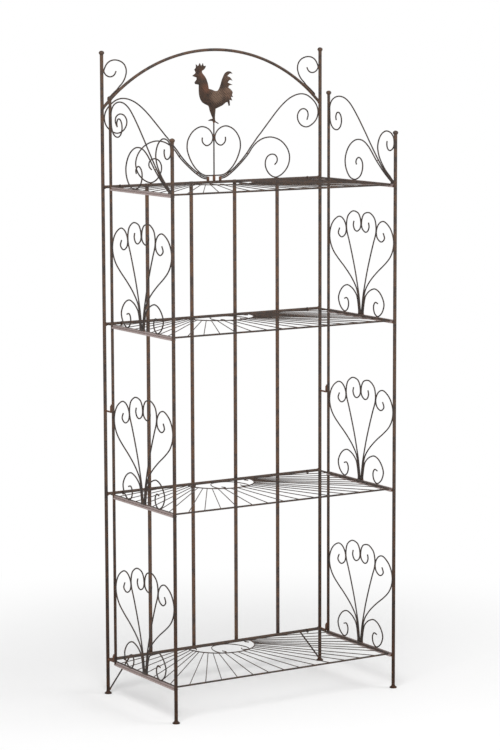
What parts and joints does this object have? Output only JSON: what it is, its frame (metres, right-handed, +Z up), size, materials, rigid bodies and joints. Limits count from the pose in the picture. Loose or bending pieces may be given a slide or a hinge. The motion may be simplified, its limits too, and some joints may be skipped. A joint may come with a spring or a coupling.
{
  "type": "garden etagere",
  "caption": "Folding iron etagere with wire sunburst shelves, fan scroll side panels that swing on pins, and an arched back with a heart, scrolls and a rooster silhouette.",
  "frame": {"origin": "on the floor, under the middle of the bounding box", "axes": "+Z up, +X to the right as seen from the front, +Y to the back frame, -Y to the open front"},
  "size_m": [0.716, 0.389, 1.7579],
  "materials": {
    "tube_iron": "dark brown rust patina over thin tube, satin",
    "rail_iron": "orange-brown rust patina, matt",
    "bar_iron": "grey-brown rust patina on flat bar, satin",
    "scroll_wire": "dark brown rust patina on thin wire",
    "shelf_wire": "dark brown rust patina on thin wire, worn on top",
    "sheet_iron": "mottled rust on cut sheet, matt",
    "fitting_iron": "reddish rust on small fittings, matt"
  },
  "bodies": {
    "back_frame": {"back_post_left": "tube_iron", "back_post_right": "tube_iron", "arch": "rail_iron", "back_rail_1": "rail_iron", "back_rail_2": "rail_iron", "back_rail_3": "rail_iron", "back_rail_4": "rail_iron", "vertical_bar_1": "bar_iron", "vertical_bar_2": "bar_iron", "vertical_bar_3": "bar_iron", "vertical_bar_4": "bar_iron", "s_scroll_left": "scroll_wire", "s_scroll_right": "scroll_wire", "inner_scroll_left": "scroll_wire", "inner_scroll_right": "scroll_wire", "corner_scroll_left": "scroll_wire", "corner_scroll_right": "scroll_wire", "brace_left": "scroll_wire", "brace_right": "scroll_wire", "heart_scroll": "scroll_wire", "rooster_rod": "scroll_wire", "rooster": "sheet_iron", "hook_left_upper": "fitting_iron", "hook_left_lower": "fitting_iron", "hook_right_upper": "fitting_iron", "hook_right_lower": "fitting_iron"},
    "left_side": {"left_front_post": "tube_iron", "left_rear_post": "tube_iron", "left_rear_ball": "tube_iron", "left_crossbar_1": "bar_iron", "left_crossbar_2": "bar_iron", "left_crossbar_3": "bar_iron", "left_crossbar_4": "bar_iron", "left_fan_2": "scroll_wire", "left_fan_3": "scroll_wire", "left_fan_4": "scroll_wire", "left_top_scrolls": "scroll_wire", "left_sleeve_upper": "fitting_iron", "left_sleeve_lower": "fitting_iron"},
    "right_side": {"right_front_post": "tube_iron", "right_rear_post": "tube_iron", "right_rear_ball": "tube_iron", "right_crossbar_1": "bar_iron", "right_crossbar_2": "bar_iron", "right_crossbar_3": "bar_iron", "right_crossbar_4": "bar_iron", "right_fan_2": "scroll_wire", "right_fan_3": "scroll_wire", "right_fan_4": "scroll_wire", "right_top_scrolls": "scroll_wire", "right_sleeve_upper": "fitting_iron", "right_sleeve_lower": "fitting_iron"},
    "shelf_1": {"shelf_1_frame": "shelf_wire", "shelf_1_sunburst": "shelf_wire"},
    "shelf_2": {"shelf_2_frame": "shelf_wire", "shelf_2_sunburst": "shelf_wire"},
    "shelf_3": {"shelf_3_frame": "shelf_wire", "shelf_3_sunburst": "shelf_wire"},
    "shelf_4": {"shelf_4_frame": "shelf_wire", "shelf_4_sunburst": "shelf_wire"}
  },
  "joints": [
    {"name": "left_side_hinge", "type": "hinge", "parent": "back_frame", "child": "left_side", "pos_m": [-0.348, 0.1496, 0], "axis": [0, 0, -1], "range_deg": [0, 120]},
    {"name": "right_side_hinge", "type": "hinge", "parent": "back_frame", "child": "right_side", "pos_m": [0.348, 0.1496, 0], "axis": [0, 0, 1], "range_deg": [0, 120]},
    {"name": "shelf_1_hinge", "type": "hinge", "parent": "back_frame", "child": "shelf_1", "pos_m": [0, 0.1764, 1.39303], "axis": [-1, 0, 0], "range_deg": [0, 90]},
    {"name": "shelf_2_hinge", "type": "hinge", "parent": "back_frame", "child": "shelf_2", "pos_m": [0, 0.1764, 1.02305], "axis": [-1, 0, 0], "range_deg": [0, 90]},
    {"name": "shelf_3_hinge", "type": "hinge", "parent": "back_frame", "child": "shelf_3", "pos_m": [0, 0.1764, 0.55806], "axis": [-1, 0, 0], "range_deg": [0, 90]},
    {"name": "shelf_4_hinge", "type": "hinge", "parent": "back_frame", "child": "shelf_4", "pos_m": [0, 0.1764, 0.095], "axis": [-1, 0, 0], "range_deg": [0, 90]}
  ]
}
